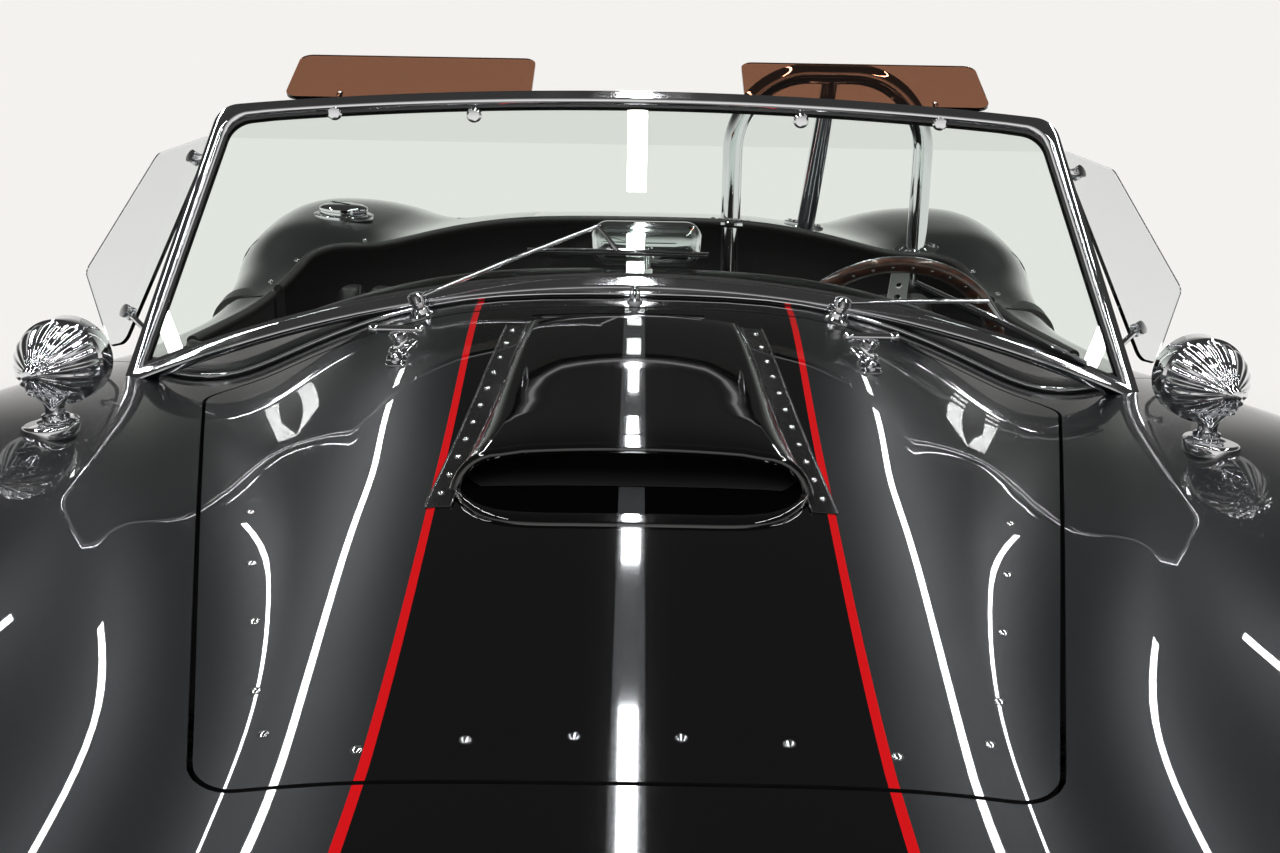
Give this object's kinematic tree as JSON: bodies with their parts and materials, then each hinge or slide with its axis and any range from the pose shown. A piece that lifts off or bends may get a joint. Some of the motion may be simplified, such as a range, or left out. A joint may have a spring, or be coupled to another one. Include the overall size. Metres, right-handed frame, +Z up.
{
  "type": "open two-seat sports car",
  "caption": "Open two-seat roadster with a front-hinged bonnet, scoop, doors, boot lid, steering and wheels that turn.",
  "frame": {"origin": "on the floor under the middle of the car's length and width", "axes": "+Z up, the car faces -Y, the driver's side is +X"},
  "size_m": [1.7438, 3.99, 1.178],
  "materials": {
    "body_paint": "dark grey metallic under clear coat, with black and red stripes",
    "black_paint": "satin black",
    "carpet": "black cut pile",
    "cast_metal": "as cast",
    "cast_alloy": "cast and turned",
    "bright_metal": "brushed",
    "chrome": "polished",
    "clear_glass": "clear with a faint green edge",
    "clear_plastic": "clear acrylic sheet",
    "tinted_plastic": "brown tinted sheet",
    "amber_lens": "amber moulded lens",
    "red_lens": "red moulded lens",
    "black_trim": "grained black covering",
    "black_leather": "grained black hide",
    "gauge_face": "black dials under glass",
    "wood": "varnished",
    "tyre": "black rubber"
  },
  "bodies": {
    "root": {"body_shell": "body_paint", "wheel_wells": "black_paint", "frame_rails": "black_paint", "cockpit_tub": "carpet", "door_posts": "black_paint", "trunk_tub": "carpet", "engine_block": "cast_metal", "radiator": "black_paint", "mouth_grille": "bright_metal", "headlamp_bezels": "chrome", "headlamp_lenses": "clear_glass", "turn_lamps": "amber_lens", "tail_lamps": "red_lens", "quick_jacks": "chrome", "side_exhausts": "bright_metal", "side_vents": "bright_metal", "windscreen_frame": "chrome", "windscreen_glass": "clear_glass", "wind_wings": "clear_plastic", "sun_visors": "tinted_plastic", "wiper_arms": "chrome", "fender_mirrors": "chrome", "cabin_mirror": "chrome", "dashboard": "black_trim", "gauges": "gauge_face", "seat_driver": "black_leather", "seat_passenger": "black_leather", "roll_hoop": "chrome", "fuel_filler": "chrome", "steering_column": "black_paint", "cockpit_levers": "chrome", "pedals": "bright_metal", "front_suspension": "black_paint", "rear_suspension": "black_paint"},
    "hood": {"hood_panel": "body_paint", "hood_scoop": "body_paint", "hood_latches": "chrome"},
    "door_driver": {"door_driver": "body_paint"},
    "door_passenger": {"door_passenger": "body_paint"},
    "trunk": {"trunk_lid": "body_paint", "trunk_handle": "chrome"},
    "steering_wheel": {"steering_rim": "wood", "steering_spokes": "bright_metal"},
    "knuckle_driver": {"knuckle_driver": "cast_metal"},
    "knuckle_passenger": {"knuckle_passenger": "cast_metal"},
    "wheel_front_driver": {"tyre_front_driver": "tyre", "rim_front_driver": "cast_alloy"},
    "wheel_front_passenger": {"tyre_front_passenger": "tyre", "rim_front_passenger": "cast_alloy"},
    "wheel_rear_driver": {"tyre_rear_driver": "tyre", "rim_rear_driver": "cast_alloy"},
    "wheel_rear_passenger": {"tyre_rear_passenger": "tyre", "rim_rear_passenger": "cast_alloy"}
  },
  "joints": [
    {"name": "wheel_front_driver_spin", "type": "hinge", "parent": "knuckle_driver", "child": "wheel_front_driver", "pos_m": [0.71, -1.25, 0.34], "axis": [1, 0, 0], "continuous": true},
    {"name": "wheel_rear_driver_spin", "type": "hinge", "parent": "root", "child": "wheel_rear_driver", "pos_m": [0.72, 1.036, 0.352], "axis": [1, 0, 0], "continuous": true},
    {"name": "knuckle_driver_steer", "type": "hinge", "parent": "root", "child": "knuckle_driver", "pos_m": [0.652, -1.25, 0.34], "axis": [0, 0, 1], "range_deg": [-25, 25]},
    {"name": "wheel_front_passenger_spin", "type": "hinge", "parent": "knuckle_passenger", "child": "wheel_front_passenger", "pos_m": [-0.71, -1.25, 0.34], "axis": [1, 0, 0], "continuous": true},
    {"name": "wheel_rear_passenger_spin", "type": "hinge", "parent": "root", "child": "wheel_rear_passenger", "pos_m": [-0.72, 1.036, 0.352], "axis": [1, 0, 0], "continuous": true},
    {"name": "knuckle_passenger_steer", "type": "hinge", "parent": "root", "child": "knuckle_passenger", "pos_m": [-0.652, -1.25, 0.34], "axis": [0, 0, 1], "range_deg": [-25, 25]},
    {"name": "steering_wheel_turn", "type": "hinge", "parent": "root", "child": "steering_wheel", "pos_m": [0.405, -0.02, 0.706], "axis": [0, -0.9397, -0.342], "range_deg": [-450, 450]},
    {"name": "hood_open", "type": "hinge", "parent": "root", "child": "hood", "pos_m": [0, -1.37, 0.606], "axis": [1, 0, 0], "range_deg": [0, 45]},
    {"name": "trunk_open", "type": "hinge", "parent": "root", "child": "trunk", "pos_m": [0, 0.93, 0.77], "axis": [1, 0, 0], "range_deg": [0, 50]},
    {"name": "door_driver_open", "type": "hinge", "parent": "root", "child": "door_driver", "pos_m": [0.738, -0.368, 0.5], "axis": [0, 0, -1], "range_deg": [0, 60]},
    {"name": "door_passenger_open", "type": "hinge", "parent": "root", "child": "door_passenger", "pos_m": [-0.738, -0.368, 0.5], "axis": [0, 0, 1], "range_deg": [0, 60]}
  ],
  "couplings": [
    {"joint": "knuckle_driver_steer", "follows": "steering_wheel_turn", "ratio": -0.0555},
    {"joint": "knuckle_passenger_steer", "follows": "steering_wheel_turn", "ratio": -0.0555}
  ]
}
